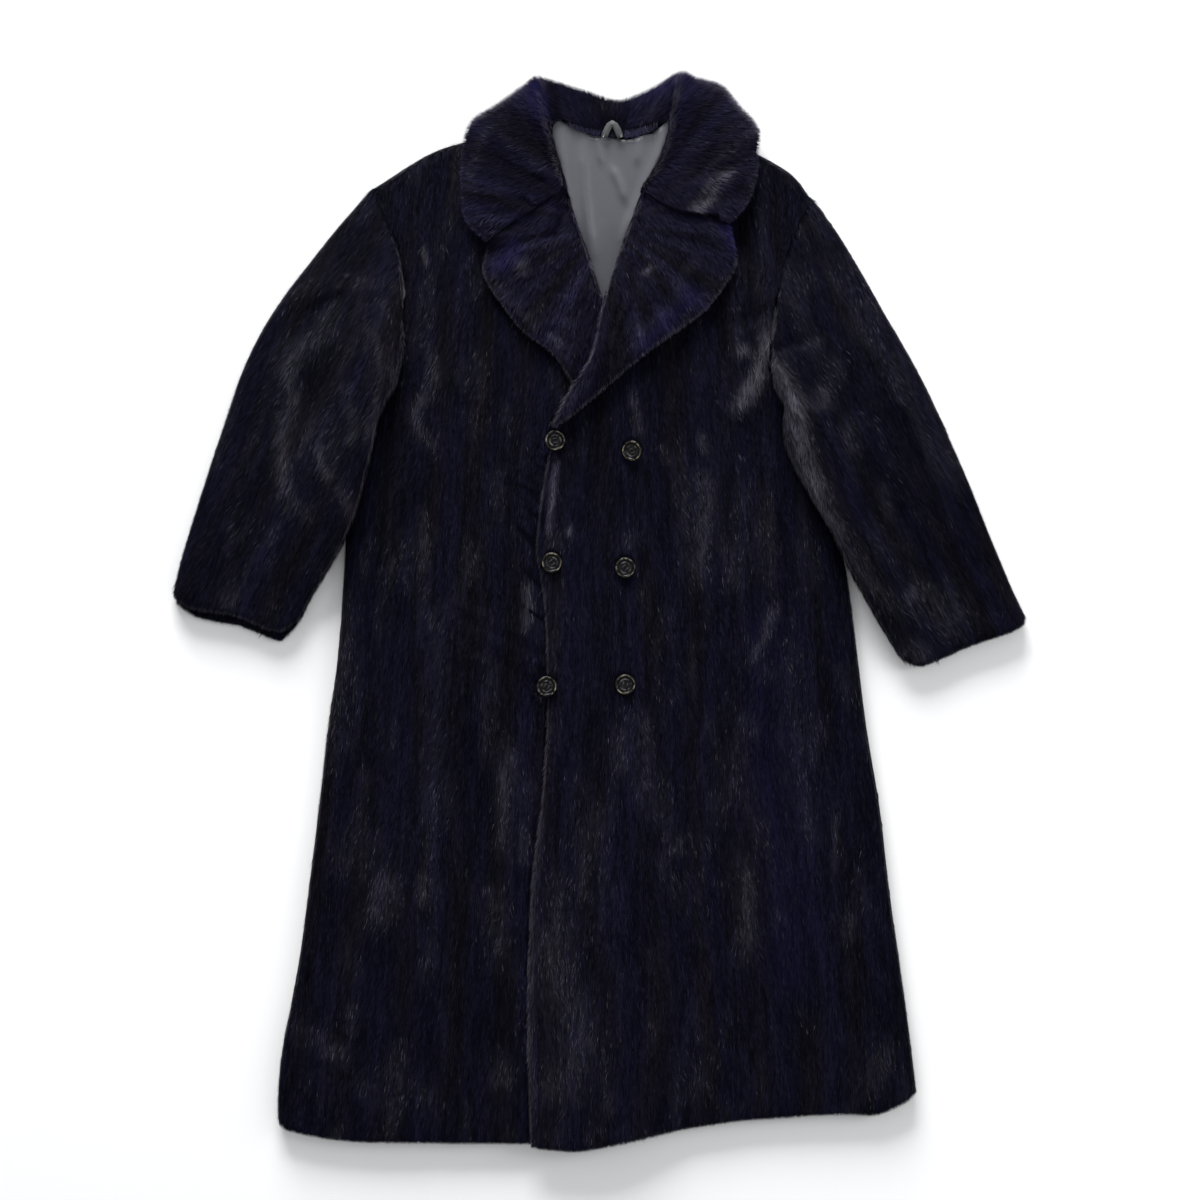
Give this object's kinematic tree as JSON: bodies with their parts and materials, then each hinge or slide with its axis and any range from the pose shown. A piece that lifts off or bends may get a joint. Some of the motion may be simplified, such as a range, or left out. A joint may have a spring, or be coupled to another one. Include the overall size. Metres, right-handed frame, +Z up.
{
  "type": "long double-breasted fur coat",
  "caption": "Full-length double-breasted fur coat laid flat, front up, with wide notched lapels, a large collar, set-in sleeves, round buttons and a satin lining in the neck.",
  "frame": {"origin": "centre of the coat's outline, on the surface that it lies on", "axes": "+Z up, away from the surface; +Y from hem to collar; +X to the viewer's right, which is the wearer's left"},
  "size_m": [1.026, 1.2932, 0.0573],
  "materials": {
    "fur": "blue-black fur, long glossy guard hair lying down the coat, in let-out strips",
    "fur_collar": "blue-black fur, shorter and denser pile",
    "satin": "mid grey satin, soft sheen",
    "horn_dark": "polished, near black"
  },
  "bodies": {
    "root": {"back": "fur", "front_right": "fur", "front_left": "fur", "sleeve_right_under": "fur", "sleeve_right_upper": "fur", "sleeve_left_under": "fur", "sleeve_left_upper": "fur", "lapel_right": "fur_collar", "lapel_left": "fur_collar", "collar": "fur_collar", "lining": "satin", "hanger_loop": "satin", "button_1": "horn_dark", "button_2": "horn_dark", "button_3": "horn_dark", "button_4": "horn_dark", "button_5": "horn_dark", "button_6": "horn_dark"}
  },
  "joints": []
}
